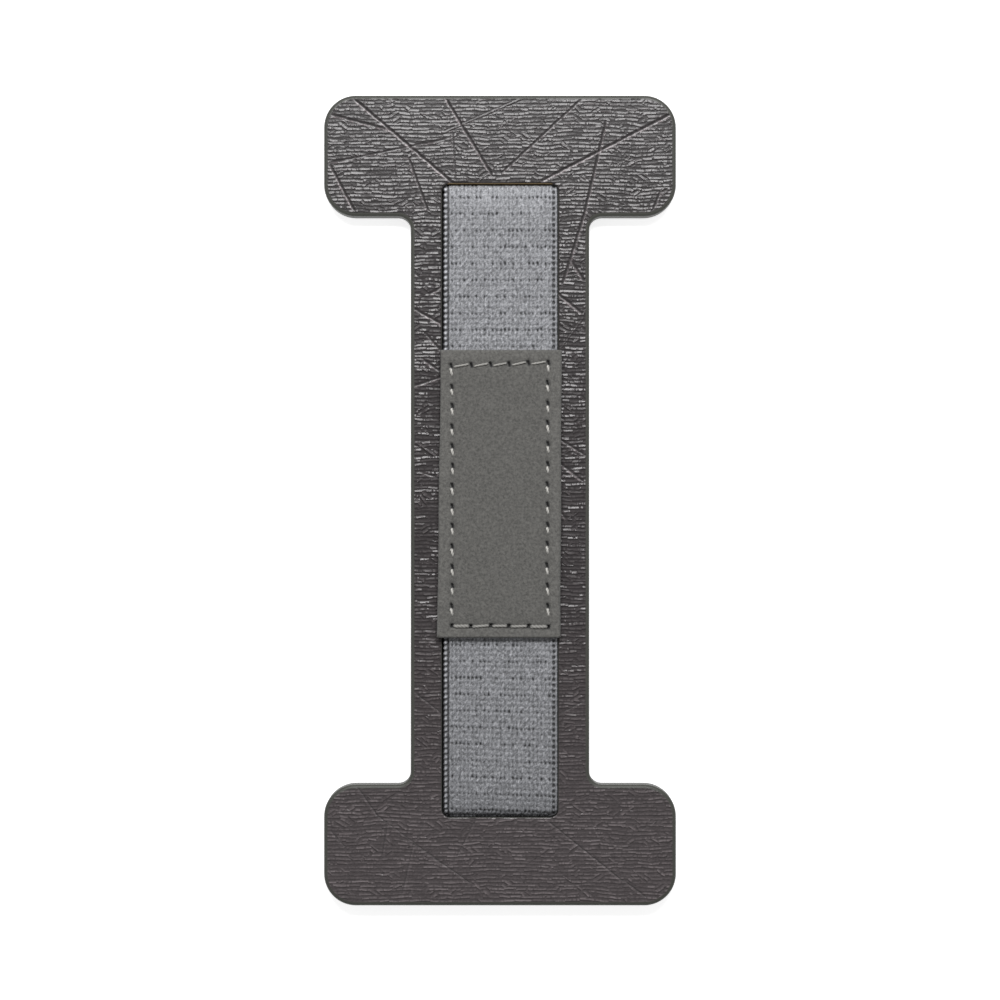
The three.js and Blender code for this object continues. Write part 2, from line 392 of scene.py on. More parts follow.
def embossed_face():
    """The plate's face as a ring with a closed section. Along the ring it follows the outline and the
    window together, and across it goes up the outer wall, over the rim, across the flat, over the
    window's rim, down the window's wall and back underneath."""
    outer_stations, inner_stations = ring_stations()
    outer, outer_left = walk(plate_loop(), outer_stations)
    inner, inner_left = walk(window_loop(), inner_stations)
    rows = []
    shares = []

    def add_row(place, height, share):
        rows.append(np.column_stack([place, np.full(RING_POINTS, height)]))
        shares.append(share * np.ones(RING_POINTS))

    turn = np.linspace(0, np.pi / 2, 7)
    add_row(outer, plate_low.z, 0)
    for inset, drop in zip(1 - np.cos(turn), 1 - np.sin(turn)):
        place = outer + RIM_RADIUS * inset * outer_left
        add_row(place, plate_high.z - RIM_RADIUS * drop, RIM_RADIUS * inset / SMOOTH_RIM)
    for inset in (0.55 * MM, 0.68 * MM):
        add_row(outer + inset * outer_left, plate_high.z, inset / SMOOTH_RIM)
    outer_ring = outer + RIM_WIDTH * outer_left
    inner_ring = inner - RIM_WIDTH * inner_left
    width = np.linalg.norm(outer_ring - inner_ring, axis=1)
    for part in np.linspace(0, 1, FLAT_ROWS):
        from_outer = (RIM_WIDTH + part * width) / SMOOTH_RIM
        from_window = (RIM_WIDTH + (1 - part) * width) / SMOOTH_WINDOW_RIM
        place = outer_ring + part * (inner_ring - outer_ring)
        add_row(place, plate_high.z, np.minimum(from_outer, from_window))
    for inset, drop in WINDOW_EDGE:
        place = inner - inset * MM * inner_left
        add_row(place, plate_high.z - drop * MM, inset * MM / SMOOTH_WINDOW_RIM)
    add_row(inner, plate_low.z, 0)
    points = np.array(rows)
    faces = quads(len(rows), RING_POINTS, rows_closed=True, columns_closed=True)
    distance, strength = crease_fields(points[..., 0] / MM, points[..., 1] / MM)
    attributes = [("rim_share", np.array(shares))]
    for i in range(0, CREASE_LAYERS, 3):
        attributes.append((f"crease_distance_{i}", np.stack(distance[i : i + 3], axis=-1)))
        attributes.append((f"crease_strength_{i}", np.stack(strength[i : i + 3], axis=-1)))
    return make_piece("embossed_face", points, faces, "face_cover", attributes)


# Woven band

def band_middle(y):
    """Height of the middle of the band: low in its pockets, then up to its level top. Near its upper
    end it comes up steeply and then leans back, and near its lower end it comes up more evenly."""
    inside = WINDOW_HALF_LENGTH - np.abs(y)
    share = np.clip(inside / BAND_RAMP, 0, 1)
    steep = np.clip(inside / (np.where(y > 0, 0.5, 1.1) * MM), 0, 1)
    low = band_low.z + BAND_THICKNESS / 2
    high = patch_low.z - BAND_THICKNESS / 2
    upper = 0.62 * (1 - steep) ** 3 + 0.38 * (1 - share) ** 2.5
    lower = 0.45 * (1 - steep) ** 2 + 0.55 * (1 - share) ** 3.2
    return high - (high - low) * np.where(y > 0, upper, lower)


def weave_yarns(across, rows, lots):
    """Height of the yarns: in each cell an oval float, out of place and slanted by its lots, on a
    ground of fine ribs."""
    wale = np.clip(np.floor(across).astype(int), 0, BAND_WALES - 1)
    row = np.floor(rows).astype(int)
    shift_x, shift_y, slant, size = (lot[wale, row] for lot in lots[:4])
    u = across - wale - 0.5 + 0.2 * np.sin(np.pi * rows + 4 * np.sin(0.8 * across + 0.31 * rows))
    v = rows - row - 0.5
    side = (u - (0.3 + 0.6 * slant) * v - 0.2 * shift_x) / (0.5 + 0.1 * size)
    end = (v - 0.13 * shift_y) / (0.58 + 0.08 * size)
    oval = (1 - np.clip(np.abs(side), 0, 1) ** 2) * (1 - 0.8 * np.clip(np.abs(end), 0, 1) ** 2.5)
    ribs = 0.07 * np.cos(4 * np.pi * across + 3 * size)
    return 0.52 + (0.4 + 0.1 * size) * oval + ribs, v, shift_y


def weave_holes(across, rows, luck):
    """Depth of the holes between the cells: bell-shaped, uneven by luck, deepest on every third row."""
    wale = np.clip(np.round(across).astype(int), 0, BAND_WALES)
    row = np.round(rows).astype(int)
    luck = luck[wale, np.clip(row, 0, luck.shape[1] - 1)]
    main = np.where(row % 3 == 0, 1.0, 0.4)
    depth = main * np.clip(0.6 + 0.6 * luck, 0.05, 1.1)
    reach_x = (across - wale - 0.1 * luck) / 0.25
    reach_y = (rows - row - 0.12 * luck) / 0.24
    return depth * np.exp(-(reach_x**2) - reach_y**2)


def weave_relief(across, rows, random):
    """Height of the weave from 0 in its holes to 1 on its yarns. The left edge is a row of loops with
    a hollow inside it, and the right one a cord with holes beside it. Across and rows count cells."""
    lots = random.uniform(-1, 1, (5, BAND_WALES + 1, int(np.floor(rows).max()) + 2))
    yarns, v, shift_y = weave_yarns(across, rows, lots)
    inside = yarns - 0.75 * weave_holes(across, rows, lots[4])
    beat = 0.5 + 0.5 * np.cos(2 * np.pi * (rows - 0.5))
    blob = np.hypot((across - 0.48 - 0.1 * v) / 0.54, (v - 0.03 * shift_y) / 0.46)
    loops = 0.1 + 1.1 * np.clip(1 - blob**3, 0, 1)
    from_right = BAND_WALES - across
    cord = 0.62 + 0.2 * beat - 0.5 * np.clip(np.abs(from_right - 0.3) / 0.45, 0, 1) ** 2
    gaps = 0.95 * np.exp(-(((from_right - 0.98) / 0.27) ** 2)) * (1 - beat) ** 1.1
    bay = np.exp(-(((across - 1.25) / 0.17) ** 2)) * (0.35 + 0.65 * beat)
    relief = np.where(across < 1.2, loops, inside)
    relief = relief - 0.5 * np.where(across >= 1.2, bay, 0)
    relief = np.where(from_right < 0.72, cord, relief) - gaps
    return np.clip(relief, 0, 1.1)


def woven_band():
    """The band as a closed sheet. Its upper side is a grid with seven points across each cell of the
    weave where it shows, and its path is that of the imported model. Its rows lean a little below the
    patch, and its edges are rounded."""
    half = band_high.x
    end = band_high.y
    window = WINDOW_HALF_LENGTH + 0.6 * MM
    overlap = 0.8 * MM
    fine = BAND_ROW / CELL_STEPS
    upper = np.arange(patch_high.y - overlap, window, fine)
    lower = np.arange(-window, patch_low.y + overlap, fine)
    hidden = np.arange(patch_low.y + overlap, patch_high.y - overlap, 1.2 * MM)
    along = np.unique(np.concatenate([[-end], lower, hidden, upper, [end]]))
    across = np.linspace(0, BAND_WALES, BAND_WALES * CELL_STEPS + 1)
    grid_across, grid_along = np.meshgrid(across, along)
    row = (grid_along + end) / BAND_ROW
    lean = 0.75 * (grid_across / BAND_WALES - 0.5) * smooth_step(-12 * MM, -34 * MM, grid_along)
    relief = weave_relief(grid_across, row + lean, np.random.default_rng(7))
    ripple = 0.05 * MM * np.cos(2 * np.pi * row)
    x = (grid_across / BAND_WALES * 2 - 1) * half + BAND_SHIFT
    x = x + np.where(grid_across < 0.5, ripple, 0)
    edge = np.minimum(grid_across, BAND_WALES - grid_across) / BAND_WALES * 2 * half
    crown = -0.12 * MM * (1 - np.clip(edge / (0.35 * MM), 0, 1)) ** 2
    z = band_middle(grid_along) + BAND_THICKNESS / 2 + (relief - 1) * WEAVE_DEPTH + crown
    top = np.stack([x, grid_along, z], axis=-1)
    under_x = np.array([half, 0.5 * half, -0.5 * half, -half]) + BAND_SHIFT
    under_z = band_middle(along) - BAND_THICKNESS / 2
    under = np.stack(np.broadcast_arrays(under_x, along[:, None], under_z[:, None]), axis=-1)
    rows = np.concatenate([top, under], axis=1)
    shade = np.concatenate([relief, np.full((len(along), 4), 0.7)], axis=1)
    attributes = [("relief", shade)]
    piece = make_piece("woven_band", rows, tube(rows), "elastic_band", attributes)
    return piece


# Patch and its seam

def seam_holes(random):
    """Middles of the needle holes, anticlockwise from the lower right: each side of the seam has as
    many equal stitches as fit, and each hole is a little out of place by chance."""
    side = seam_high.x - THREAD_RADIUS
    top = seam_high.y - THREAD_RADIUS - SEAM_TOP_SLANT / 2
    bottom = seam_low.y + THREAD_RADIUS
    slant = SEAM_TOP_SLANT / 2
    corners = np.array([(side, bottom), (side, top + slant), (-side, top - slant), (-side, bottom)])
    holes = []
    for i, corner in enumerate(corners):
        ahead = corners[(i + 1) % 4] - corner
        count = round(np.linalg.norm(ahead) / STITCH_PITCH)
        holes.append(corner + np.arange(count)[:, None] / count * ahead)
    holes = np.concatenate(holes)
    return holes + random.normal(0, 0.05 * MM, holes.shape)


def patch_top(x, y, holes):
    """Drop of the patch's face below its flat: a shallow trough along the seam, a dimple at each
    hole, a narrow pit in the dimple and a slow unevenness. Also how far into a pit each point is."""
    drop = 0.02 * MM * np.sin(x / (2.9 * MM) + 1) * np.sin(y / (4.7 * MM))
    nearest = np.full(x.shape, np.inf)
    for start, stop in zip(holes, np.roll(holes, -1, axis=0)):
        span = stop - start
        share = ((x - start[0]) * span[0] + (y - start[1]) * span[1]) / (span @ span)
        share = np.clip(share, 0, 1)
        gap = np.hypot(x - start[0] - share * span[0], y - start[1] - share * span[1])
        nearest = np.minimum(nearest, gap)
    drop = drop + 0.1 * MM * np.exp(-((nearest / (0.5 * MM)) ** 2))
    pit = np.zeros(x.shape)
    for hole_x, hole_y in holes:
        dx, dy = x - hole_x, y - hole_y
        drop = drop + 0.12 * MM * np.exp(-(dx**2 + dy**2) / (0.42 * MM) ** 2)
        in_lowest_row = hole_y < seam_low.y + 0.5 * MM
        reach_x, reach_y, slant = SQUARE_PIT if in_lowest_row else PIT
        deep = np.exp(-(((dx - slant * dy) / reach_x) ** 4) - (dy / reach_y) ** 4)
        pit = np.maximum(pit, deep)
    return drop + PIT_DEPTH * pit, pit


def edge_stations(half, inner):
    """Shares from -1 to 1 across a patch of a given half width: the inner stations and a rounded
    edge at each end. Also how far the patch drops at each."""
    turn = np.linspace(0, np.pi / 2, 5)
    drops = PATCH_EDGE_RADIUS * (1 - np.cos(turn))
    edge = 1 - PATCH_EDGE_RADIUS * (1 - np.sin(turn[::-1])) / half
    inner = inner[np.abs(inner) < 1 - 2 * PATCH_EDGE_RADIUS / half]
    shares = np.concatenate([-edge[::-1], inner, edge])
    return shares, np.concatenate([drops[::-1], np.zeros(len(inner)), drops])


def suede_patch(holes):
    """The patch as a closed sheet between four corners, with rounded upper edges."""
    middle = (patch_low.y + patch_high.y) / 2
    half = (patch_high.y - patch_low.y) / 2
    half_width = 8 * MM
    columns = spread(-half_width, half_width, 0.3 * MM, holes[:, 0], 0.42 * MM, 0.07 * MM)
    side_rows = spread(-half, half, 0.3 * MM, holes[:, 1] - middle, 0.45 * MM, 0.09 * MM)
    share_x, drop_x = edge_stations(half_width, columns / half_width)
    share_y, drop_y = edge_stations(half, side_rows / half)
    grid_x, grid_y = np.meshgrid(share_x, share_y)
    width = np.interp(grid_y, [-1, 1], [PATCH_BOTTOM_WIDTH, PATCH_TOP_WIDTH]) / 2
    lean = grid_y * PATCH_LEAN / 2
    y = middle + grid_y * half
    wander = 0.03 * MM * np.sin(y / (3.1 * MM) + 2 * np.sign(grid_x)) * np.abs(grid_x)
    x = grid_x * width + lean + wander
    drop, pit = patch_top(x, y, holes)
    z = patch_high.z - drop - np.maximum(drop_x[None, :], drop_y[:, None])
    top = np.stack([x, y, z], axis=-1)
    under = np.stack([x[:, [-1, 0]], y[:, [-1, 0]], np.full((len(y), 2), patch_low.z)], axis=-1)
    rows = np.concatenate([top, under], axis=1)
    inset = np.minimum((1 - np.abs(grid_x)) * width, (1 - np.abs(grid_y)) * half) / MM
    none_below = np.zeros((len(y), 2))
    attributes = [
        ("pit", np.concatenate([pit, none_below], axis=1)),
        ("inset", np.concatenate([inset, none_below], axis=1)),
    ]
    piece = make_piece("suede_patch", rows, tube(rows), "patch", attributes)
    return piece


def seam_thread(name, node, holes, side, random):
    """One sewing thread round the whole seam. Over each stitch its middle runs along a low arch
    and dips into the holes at both ends, and its round section is drawn into two twisted plies. The
    stitches of the sides slant, thin out and sink towards their lower ends, where they show less.
    Those of the lowest row are plump, and two of them are doubled."""
    surface = patch_high.z if side > 0 else patch_low.z - BAND_THICKNESS
    samples = 34
    share = np.linspace(0, 1, samples)
    stops = np.roll(holes, -1, axis=0)
    heading = unit(stops - holes)
    aside = left_of(heading)
    across = np.abs(heading[:, :1])
    on_top_row = heading[:, :1] < -0.5
    on_bottom_row = heading[:, :1] > 0.5
    doubled = on_bottom_row & (np.abs(holes[:, :1] + stops[:, :1]) > 9 * MM)
    slip = (0.04 + 0.1 * on_top_row) * MM * aside
    leg = STITCH_LEG * np.where(on_bottom_row, 0.85, 1)
    start = holes + leg * heading - slip
    stop = stops - leg * heading + slip
    ease = share - np.sin(2 * np.pi * share) / (2 * np.pi) * 0.75
    flat = start[:, None] + ease[None, :, None] * (stop - start)[:, None]
    from_upper = np.where(heading[:, 1:] < 0, ease[None, :], 1 - ease[None, :])
    flat[..., 0] += (1 - across) * 0.3 * MM * (from_upper - 0.15)
    dive = 0.9 * MM * np.abs(2 * share - 1)[None, :] ** 9
    peak = random.uniform(0.03, 0.08, (len(holes), 1)) * MM
    sunk = (1 - across) * 0.3 * MM * smooth_step(0.12, 0.62, from_upper)
    height = peak - dive - sunk
    # Painted light for the thread's colour: painted shade where the thread sinks below the surface, and
    # a painted highlight on the side stitches, more than on the top and bottom rows.
    light = 0.16 + 0.84 * smooth_step(-0.2 * MM, 0.03 * MM, height)
    light = light * (1.45 - 0.6 * across - 0.15 * on_bottom_row)
    middle = np.concatenate([flat, (surface + side * height)[..., None]], axis=2).reshape(-1, 3)
    tangent = unit(np.gradient(middle, axis=0))
    sideways = np.repeat(aside, samples, axis=0)
    sideways = np.concatenate([sideways, np.zeros((len(sideways), 1))], axis=1)
    sideways = unit(sideways - (sideways * tangent).sum(axis=1, keepdims=True) * tangent)
    upright = np.cross(tangent, sideways)
    angle = np.linspace(0, 2 * np.pi, 14, endpoint=False)
    twist = 2 * np.pi * lengths_along(middle) / THREAD_TWIST
    ply = np.abs(np.cos(angle[None, :] - twist[:, None]))
    plump = 1.15 - 0.3 * on_top_row + 0.05 * on_bottom_row + 0.3 * doubled
    plump = (plump - (1 - across) * 0.3 * from_upper).reshape(-1, 1)
    radius = THREAD_RADIUS * (0.82 + 0.28 * ply**1.4) * plump
    turn = np.stack([np.cos(angle), np.sin(angle)])[:, None, :, None]
    ring = turn[0] * sideways[:, None] + turn[1] * upright[:, None]
    rows = middle[:, None] + radius[..., None] * ring
    attributes = [("ply", ply), ("light", np.repeat(light.ravel(), len(angle)))]
    return make_piece(name, rows, tube(rows), node, attributes)


# Materials

def grey(red, green, blue):
    """A colour given by its display values from 0 to 255."""
    value = np.array([red, green, blue]) / 255
    linear = np.where(value <= 0.04045, value / 12.92, ((value + 0.055) / 1.055) ** 2.4)
    return (*linear.tolist(), 1.0)


LEATHER = grey(68, 63, 64)
EDGE_PAINT = grey(68, 69, 64)
BOARD_PAINT = grey(66, 67, 62)
# Black for the window's walls: painted shade, darker than their edge paint.
BLACK_WALL_SHADE = grey(26, 26, 25)
TORN_BOARD = grey(122, 104, 72)
RAW_BOARD = grey(142, 112, 74)
WEBBING = grey(143, 144, 148)
SUEDE = grey(94, 93, 90)
THREAD = grey(176, 174, 169)
BLACK_FILM = grey(42, 41, 43)
ADHESIVE = grey(222, 221, 216)

# Hairlines and creases of the embossing, in millimetres. Leaning hairlines have an angle in radians
# and come in where a slow noise passes from the first value to the second.
LEVEL_LINES = {"Pitch": 0.5, "Height": 0.038}
LEANING_LINES = {"Pitch": 0.62, "Height": 0.036}
LEANINGS = ((0.62, 0.61, 0.66), (-0.55, 0.39, 0.34))
CREASE_SECTION = {"Width": 0.125, "Height": 0.036}


class Tree:
    """Adds nodes to a node tree and joins them. An input is a number, a colour or a node's output."""

    def __init__(self, tree):
        self.tree = tree

    def add(self, kind, inputs=(), **settings):
        node = self.tree.nodes.new(kind)
        for key, value in settings.items():
            setattr(node, key, value)
        for key, value in dict(inputs).items():
            self.feed(node.inputs[key], value)
        return node

    def feed(self, socket, value):
        if isinstance(value, bpy.types.NodeSocket):
            self.tree.links.new(value, socket)
        else:
            socket.default_value = value

    def math(self, operation, *values):
        return self.add("ShaderNodeMath", enumerate(values), operation=operation).outputs[0]

    def chain(self, operation, first, others):
        """One value from several, taken in turn."""
        for other in others:
            first = self.math(operation, first, other)
        return first

    def plus(self, first, *others):
        return self.chain("ADD", first, others)

    def times(self, first, *others):
        return self.chain("MULTIPLY", first, others)

    def largest(self, first, *others):
        return self.chain("MAXIMUM", first, others)

    def minus(self, first, second):
        return self.math("SUBTRACT", first, second)

    def size(self, value):
        return self.math("ABSOLUTE", value)

    def vector(self, operation, *values):
        node = self.add("ShaderNodeVectorMath", enumerate(values), operation=operation)
        return node.outputs["Vector"]

    def parts(self, vector):
        return self.add("ShaderNodeSeparateXYZ", {0: vector}).outputs

    def join(self, *values):
        return self.add("ShaderNodeCombineXYZ", enumerate(values)).outputs[0]

    def turned(self, vector, angle):
        inputs = {"Vector": vector, "Angle": angle}
        return self.add("ShaderNodeVectorRotate", inputs, rotation_type="Z_AXIS").outputs[0]

    def noise(self, vector, scale, detail=2.0, roughness=0.5):
        inputs = {"Vector": vector, "Scale": scale, "Detail": detail, "Roughness": roughness}
        return self.add("ShaderNodeTexNoise", inputs).outputs["Fac"]

    def stretched(self, vector, scales, detail=2.0, roughness=0.5):
        """Noise with a scale of its own in each direction."""
        return self.noise(self.vector("MULTIPLY", vector, scales), 1.0, detail, roughness)

    def ramp(self, value, low, high, to_low=0.0, to_high=1.0, smooth=True):
        inputs = {0: value, 1: low, 2: high, 3: to_low, 4: to_high}
        kind = "SMOOTHSTEP" if smooth else "LINEAR"
        return self.add("ShaderNodeMapRange", inputs, interpolation_type=kind).outputs[0]

    def mix(self, share, first, second):
        inputs = {"Factor": share, 6: first, 7: second}
        return self.add("ShaderNodeMix", inputs, data_type="RGBA").outputs[2]

    def attribute(self, name, output="Fac"):
        return self.add("ShaderNodeAttribute", attribute_name=name).outputs[output]


def new_group(name, inputs, outputs, output_kind="NodeSocketFloat"):
    """An empty node group with named inputs and their values, its tree, its inputs and outputs."""
    group = bpy.data.node_groups.new(name, "ShaderNodeTree")
    for label, value in inputs.items():
        kind = "NodeSocketVector" if isinstance(value, tuple) else "NodeSocketFloat"
        socket = group.interface.new_socket(label, in_out="INPUT", socket_type=kind)
        socket.default_value = value
    for label in outputs:
        group.interface.new_socket(label, in_out="OUTPUT", socket_type=output_kind)
    tree = Tree(group)
    return group, tree, tree.add("NodeGroupInput").outputs, tree.add("NodeGroupOutput").inputs


def place_group(tree, group, inputs):
    """The outputs of a node group placed in a tree."""
    return tree.add("ShaderNodeGroup", inputs, node_tree=group).outputs


def millimetre_group():
    """Object coordinates, in millimetres."""
    group, tree, _, out = new_group("Millimetres", {}, ["Place"], "NodeSocketVector")
    place = tree.add("ShaderNodeTexCoord").outputs["Object"]
    scaled = tree.add("ShaderNodeVectorMath", {0: place, "Scale": 1 / MM}, operation="SCALE")
    tree.feed(out["Place"], scaled.outputs[0])
    return group


def hairline_group():
    """Embossed hairlines that run across the plate. Rows a pitch apart wander a little, and each is
    cut into stretches of uneven length. Chance raises, leans and strengthens each stretch, and whole
    patches are fainter. A line's lower flank is steep and its upper one gentle. Height is in
    millimetres, Line is 1 on a line's crest and Trough is 1 between two lines."""
    group, tree, given, out = new_group(
        "Hairlines",
        {"Place": (0, 0, 0), "Pitch": 0.5, "Height": 0.05},
        ["Height", "Line", "Trough"],
    )
    place = given["Place"]
    parts = tree.parts(place)
    slow = tree.noise(place, 0.12, 2)
    local = tree.stretched(place, (0.4, 0.9, 1.0), 2)
    wander = tree.plus(tree.times(slow, 0.9), tree.times(local, 0.3))
    rows = tree.math("DIVIDE", tree.plus(parts[1], wander), given["Pitch"])
    number = tree.math("FLOOR", rows)
    within = tree.minus(tree.minus(rows, number), 0.5)
    lot = tree.add("ShaderNodeTexWhiteNoise", {"W": number}, noise_dimensions="1D")
    chance = lot.outputs["Value"]
    dash_place = tree.join(tree.times(parts[0], 0.7), tree.times(number, 7.31), chance)
    uneven = tree.times(tree.noise(dash_place, 1.1, 1), 2.2)
    along = tree.plus(tree.times(parts[0], 0.55), tree.times(chance, 37.0), uneven)
    stretch = tree.math("FLOOR", along)
    part = tree.minus(tree.minus(along, stretch), 0.5)
    cell = tree.join(number, stretch)
    pick = tree.add("ShaderNodeTexWhiteNoise", {"Vector": cell}, noise_dimensions="2D")
    lots = tree.parts(pick.outputs["Color"])
    raised = tree.times(tree.minus(lots[0], 0.5), 0.3)
    leaning = tree.times(tree.minus(lots[1], 0.5), tree.times(part, 0.6))
    shifted = tree.plus(within, tree.plus(raised, leaning))
    steep_flank = tree.ramp(shifted, -0.34, -0.14)
    gentle_flank = tree.ramp(shifted, -0.12, 0.36, 1, 0, smooth=False)
    crest = tree.times(steep_flank, gentle_flank)
    gain = tree.ramp(lots[2], 0.0, 1.0, 0.25, 1.5, smooth=False)
    tips = tree.ramp(tree.size(part), 0.5, 0.45, 0.3, 1)
    breaks = tree.ramp(tree.noise(dash_place, 3.4, 2), 0.34, 0.46, 0.3)
    patches = tree.ramp(tree.noise(place, 0.33, 2), 0.3, 0.48, 0.5, 1)
    line = tree.times(crest, tree.times(gain, tips, breaks), patches)
    grain = tree.stretched(place, (2.0, 3.6, 1.0), 2, 0.55)
    total = tree.plus(line, tree.times(grain, 0.4))
    trough = tree.ramp(tree.size(tree.plus(shifted, 0.34)), 0.06, 0.22, 1, 0)
    tree.feed(out["Height"], tree.times(total, given["Height"]))
    tree.feed(out["Line"], line)
    tree.feed(out["Trough"], tree.times(trough, tree.ramp(gain, 0.3, 1, 0.5, 1)))
    return group


def crease_group():
    """Three layers of creases from their distances and strengths. Each is a groove or a ridge with a
    bell-shaped section, and the ground beside it swells the other way. Near is 1 on a crease, where
    the hairlines stop, and Lip is 1 on the lower lip of a deep groove, where the leather gets a painted
    highlight."""
    group, tree, given, out = new_group(
        "Creases",
        {"Distance": (1, 1, 1), "Strength": (0, 0, 0), "Wobble": 0.0, "Width": 0.16, "Height": 0.1},
        ["Height", "Near", "Lip"],
    )
    heights, nears, lips = [], [], []
    for distance, strength in zip(tree.parts(given["Distance"]), tree.parts(given["Strength"])):
        shifted = tree.math("DIVIDE", tree.plus(distance, given["Wobble"]), given["Width"])
        square = tree.times(shifted, shifted)
        bell = tree.math("EXPONENT", tree.times(square, -1.0))
        wide = tree.math("EXPONENT", tree.times(square, -0.22))
        shape = tree.minus(tree.times(bell, 1.35), tree.times(wide, 0.35))
        beside = tree.plus(shifted, 1.7)
        lip = tree.math("EXPONENT", tree.times(beside, beside, -1.1))
        sunk = tree.math("MINIMUM", strength, 0)
        heights.append(tree.times(shape, strength))
        nears.append(tree.times(wide, tree.size(strength)))
        lips.append(tree.times(lip, tree.times(sunk, sunk)))
    tree.feed(out["Height"], tree.times(tree.plus(*heights), given["Height"]))
    tree.feed(out["Near"], tree.largest(*nears))
    tree.feed(out["Lip"], tree.largest(*lips))
    return group


def mottle_group():
    """Slow unevenness of a colour: a value about 1, from two sizes of noise."""
    inputs = {"Place": (0, 0, 0), "Scale": 0.3, "Amount": 0.1}
    group, tree, given, out = new_group("Mottle", inputs, ["Value"])
    coarse = tree.noise(given["Place"], given["Scale"], 3, 0.6)
    fine = tree.noise(given["Place"], tree.times(given["Scale"], 9.0), 2, 0.6)
    both = tree.plus(tree.times(coarse, 0.65), tree.times(fine, 0.35))
    swing = tree.times(tree.minus(both, 0.5), given["Amount"], 2.0)
    tree.feed(out["Value"], tree.plus(swing, 1.0))
    return group


MILLIMETRES = millimetre_group()
HAIRLINES = hairline_group()
CREASE_LINES = crease_group()
MOTTLE = mottle_group()


def new_material(name, **fixed):
    """A material with one Principled shader whose fixed sockets are set, and its node tree."""
    material = bpy.data.materials.new(name)
    material.use_nodes = True
    shader = material.node_tree.nodes["Principled BSDF"]
    for key, value in fixed.items():
        shader.inputs[key.replace("_", " ")].default_value = value
    return material, Tree(material.node_tree), shader.inputs


def millimetres(tree):
    return place_group(tree, MILLIMETRES, {})["Place"]


def mottled(tree, place, scale, amount):
    return place_group(tree, MOTTLE, {"Place": place, "Scale": scale, "Amount": amount})["Value"]


def tint(tree, colour, value):
    """A colour, given or from a node, times a value."""
    if isinstance(colour, tuple):
        colour = colour[:3]
    return tree.vector("MULTIPLY", colour, tree.join(value, value, value))


def dress(tree, shader, colour, roughness, height):
    """Colour and roughness of a shader, and its bump from a height in millimetres."""
    bump = tree.add("ShaderNodeBump", {"Height": height, "Distance": MM, "Strength": 1.0})
    tree.feed(shader["Base Color"], colour)
    tree.feed(shader["Roughness"], roughness)
    tree.feed(shader["Normal"], bump.outputs[0])


def near_window(tree, parts, margin):
    """1 in the window and within a margin round it, in millimetres, and 0 elsewhere."""
    in_x = tree.math("LESS_THAN", tree.size(parts[0]), WINDOW_HALF_WIDTH / MM + margin)
    in_y = tree.math("LESS_THAN", tree.size(parts[1]), WINDOW_HALF_LENGTH / MM + margin)
    return tree.times(in_x, in_y)


def leather_lines(tree, place):
    """The hairlines' height, lines and troughs. They run level, and lean one way or the other where
    a slow noise is high or low."""
    crumple = tree.noise(place, 0.55, 2)
    level = place_group(tree, HAIRLINES, {"Place": place, **LEVEL_LINES})
    lines = {key: level[key] for key in ("Height", "Line", "Trough")}
    for angle, low, high in LEANINGS:
        inputs = {"Place": tree.turned(place, angle), **LEANING_LINES}
        leaning = place_group(tree, HAIRLINES, inputs)
        share = tree.ramp(crumple, low, high, 0, 0.85)
        for key, value in lines.items():
            kept = tree.times(value, tree.minus(1, share))
            lines[key] = tree.plus(kept, tree.times(leaning[key], share))
    return lines


def leather_creases(tree, place):
    """The creases' height, how near a crease is, and where its lower lip gets a painted highlight."""
    wobble = tree.times(tree.minus(tree.noise(place, 1.6, 2), 0.5), 0.22)
    layers = []
    for i in range(0, CREASE_LAYERS, 3):
        inputs = {
            "Distance": tree.attribute(f"crease_distance_{i}", "Vector"),
            "Strength": tree.attribute(f"crease_strength_{i}", "Vector"),
            "Wobble": wobble,
            **CREASE_SECTION,
        }
        layers.append(place_group(tree, CREASE_LINES, inputs))
    grooves = tree.plus(*[layer["Height"] for layer in layers])
    near = tree.largest(*[layer["Near"] for layer in layers])
    lip = tree.largest(*[layer["Lip"] for layer in layers])
    patchy = tree.ramp(tree.noise(place, 1.9, 3, 0.8), 0.42, 0.6, 0.1, 1)
    return grooves, near, tree.times(lip, patchy)


def leather_edge(tree, place, parts, mottle):
    """Grey paint on the sheet's rim, and black as painted shade in the window, with a torn line of raw
    board at the window's upper end."""
    half_width = WINDOW_HALF_WIDTH / MM
    edge = tint(tree, EDGE_PAINT, mottle)
    # The window's walls are black: painted shade.
    edge = tree.mix(near_window(tree, parts, 0.03), edge, BLACK_WALL_SHADE)
    middle = tree.ramp(tree.size(parts[0]), half_width - 0.9, half_width - 0.6, 1, 0)
    above = tree.size(tree.minus(parts[1], WINDOW_HALF_LENGTH / MM))
    torn = tree.plus(above, tree.times(tree.noise(place, 1.8, 3, 0.7), 0.3))
    raw = tree.times(middle, tree.ramp(torn, 0.26, 0.34, 1, 0))
    return tree.mix(raw, edge, TORN_BOARD)


